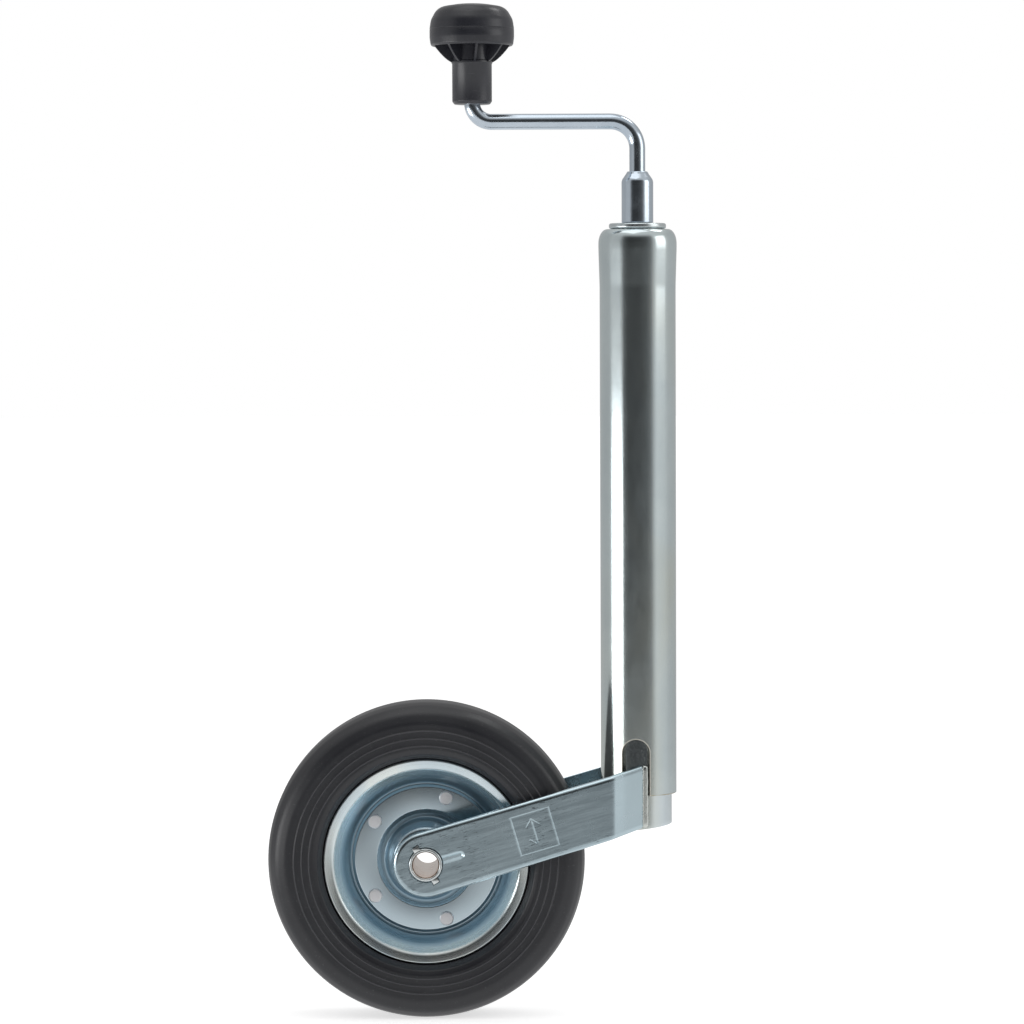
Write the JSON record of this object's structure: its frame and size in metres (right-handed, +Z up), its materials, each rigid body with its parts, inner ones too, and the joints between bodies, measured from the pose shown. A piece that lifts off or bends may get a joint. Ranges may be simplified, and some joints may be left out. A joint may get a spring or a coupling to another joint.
{
  "type": "trailer tongue jack",
  "caption": "Jockey-wheel jack for a trailer's tongue: a crank turns a screw inside telescoping tubes and lowers a fork with a solid rubber wheel.",
  "frame": {"origin": "on the axis of the outer tube, at the middle of its length, where the trailer's clamp holds it", "axes": "+Z up along the tube to the crank, -X the way the wheel trails and the crank points, -Y the near side of the wheel"},
  "size_m": [0.2597, 0.0692, 0.6403],
  "materials": {
    "zinc_tube": "clear zinc plate, satin gloss",
    "zinc_plate": "zinc plate with fine rolling lines",
    "zinc_rim": "blue zinc plate",
    "bright_steel": "bright zinc plate",
    "rivet_steel": "dull pressed heads",
    "bearing_steel": "ground",
    "greased_steel": "oiled machined steel",
    "rubber": "satin black rubber",
    "black_plastic": "satin moulded plastic",
    "nylon": "natural nylon",
    "brass": "pressed brass"
  },
  "bodies": {
    "tube": {"outer_tube": "zinc_tube", "top_washer": "zinc_plate", "upper_race": "bearing_steel"},
    "crank": {"crank_sleeve": "bright_steel", "crank_rod": "bright_steel", "knob_snap_ring": "bright_steel", "spindle": "greased_steel", "thrust_collar": "greased_steel", "collar_pin": "bright_steel", "lower_race": "bearing_steel", "stop_washer": "greased_steel", "stop_pin": "bright_steel"},
    "grip": {"knob": "black_plastic"},
    "cage": {"ball_cage": "brass", "bearing_ball_1": "bearing_steel", "bearing_ball_2": "bearing_steel", "bearing_ball_3": "bearing_steel", "bearing_ball_4": "bearing_steel", "bearing_ball_5": "bearing_steel", "bearing_ball_6": "bearing_steel", "bearing_ball_7": "bearing_steel", "bearing_ball_8": "bearing_steel"},
    "slider": {"guide_ring": "nylon"},
    "fork": {"inner_tube": "zinc_tube", "spindle_nut": "greased_steel", "fork_arm_near": "zinc_plate", "fork_arm_far": "zinc_plate", "weld_bead_near": "zinc_plate", "weld_bead_far": "zinc_plate", "axle_tube": "zinc_rim", "side_washer_near": "zinc_rim", "side_washer_far": "zinc_rim"},
    "wheel": {"tyre": "rubber", "rim_near": "zinc_rim", "rim_far": "zinc_rim", "rim_rivet_1": "rivet_steel", "rim_rivet_2": "rivet_steel", "rim_rivet_3": "rivet_steel", "rim_rivet_4": "rivet_steel", "rim_rivet_5": "rivet_steel", "hub_tube": "zinc_rim", "hub_bush_near": "nylon", "hub_bush_far": "nylon"}
  },
  "joints": [
    {"name": "crank_turn", "type": "hinge", "parent": "tube", "child": "crank", "pos_m": [0, 0, 0.19], "axis": [0, 0, -1], "range_deg": [-900, 17280]},
    {"name": "knob_spin", "type": "hinge", "parent": "crank", "child": "grip", "pos_m": [-0.104, 0, 0.29], "axis": [0, 0, 1], "continuous": true},
    {"name": "bearing_roll", "type": "hinge", "parent": "tube", "child": "cage", "pos_m": [0, 0, 0.17], "axis": [0, 0, -1], "range_deg": [-451, 8641]},
    {"name": "fork_slide", "type": "slide", "parent": "tube", "child": "slider", "axis": [0, 0, -1], "range_m": [-0.0101, 0.1921]},
    {"name": "fork_swivel", "type": "hinge", "parent": "slider", "child": "fork", "pos_m": [0, 0, 0], "axis": [0, 0, 1], "range_deg": [-1, 1]},
    {"name": "wheel_spin", "type": "hinge", "parent": "fork", "child": "wheel", "pos_m": [-0.135, 0, -0.22], "axis": [0, 1, 0], "continuous": true}
  ],
  "couplings": [
    {"joint": "fork_slide", "follows": "crank_turn", "m_per_rad": 0.00063662},
    {"joint": "bearing_roll", "follows": "crank_turn", "ratio": 0.5}
  ]
}
